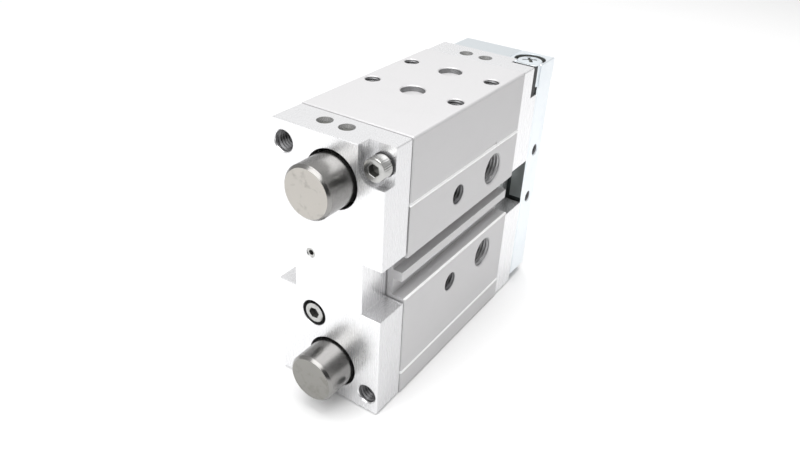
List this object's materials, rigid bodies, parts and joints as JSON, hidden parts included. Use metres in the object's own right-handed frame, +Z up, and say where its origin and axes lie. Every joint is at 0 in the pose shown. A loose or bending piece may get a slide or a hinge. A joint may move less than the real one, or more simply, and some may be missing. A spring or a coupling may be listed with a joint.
{
  "type": "guided pneumatic cylinder",
  "caption": "Slim upright guided air cylinder: grey ribbed-slot body between bright end caps, polished guide rods through it, and a steel end plate with a stop block",
  "frame": {"origin": "centre of the four tapped holes in the underside of the body, on that face", "axes": "+X to the right of the front face, +Y from the front cap to the end plate, +Z up"},
  "size_m": [0.0484, 0.141, 0.1128],
  "materials": {
    "grey_anodised": "matt grey anodised",
    "clear_anodised": "satin clear anodised",
    "plated_steel": "satin zinc plated, slightly blue",
    "ground_steel": "ground and polished",
    "screw_steel": "bright",
    "bearing_bronze": "machined",
    "black_rubber": "matt",
    "black_plastic": "matt",
    "magnet": "matt, bonded magnet"
  },
  "bodies": {
    "housing": {"body": "grey_anodised", "front_cap": "clear_anodised", "rear_cap": "clear_anodised", "front_gasket": "black_rubber", "rear_gasket": "black_rubber", "front_cap_screws": "screw_steel", "front_cap_washers": "screw_steel", "rear_cap_screws": "screw_steel", "set_screw": "screw_steel", "front_bumper": "black_rubber", "rear_bumper": "black_rubber", "piston_rod_bush": "bearing_bronze", "piston_rod_seal": "black_rubber", "stop_bumper": "black_rubber", "upper_front_bush": "bearing_bronze", "upper_rear_bush": "bearing_bronze", "upper_bush_spacer": "black_plastic", "upper_wiper": "black_rubber", "lower_front_bush": "bearing_bronze", "lower_rear_bush": "bearing_bronze", "lower_bush_spacer": "black_plastic", "lower_wiper": "black_rubber"},
    "slider": {"end_plate": "plated_steel", "stop_block": "plated_steel", "stop_block_screw": "screw_steel", "guide_rod_screws": "screw_steel", "piston_rod_screw": "screw_steel", "piston": "clear_anodised", "piston_seal": "black_rubber", "piston_magnet": "magnet", "piston_wear_ring": "black_plastic", "piston_rod": "ground_steel", "piston_nut": "plated_steel", "upper_guide_rod": "ground_steel", "lower_guide_rod": "ground_steel"}
  },
  "joints": [
    {"name": "stroke", "type": "slide", "parent": "housing", "child": "slider", "axis": [0, 1, 0], "range_m": [0, 0.05]}
  ]
}
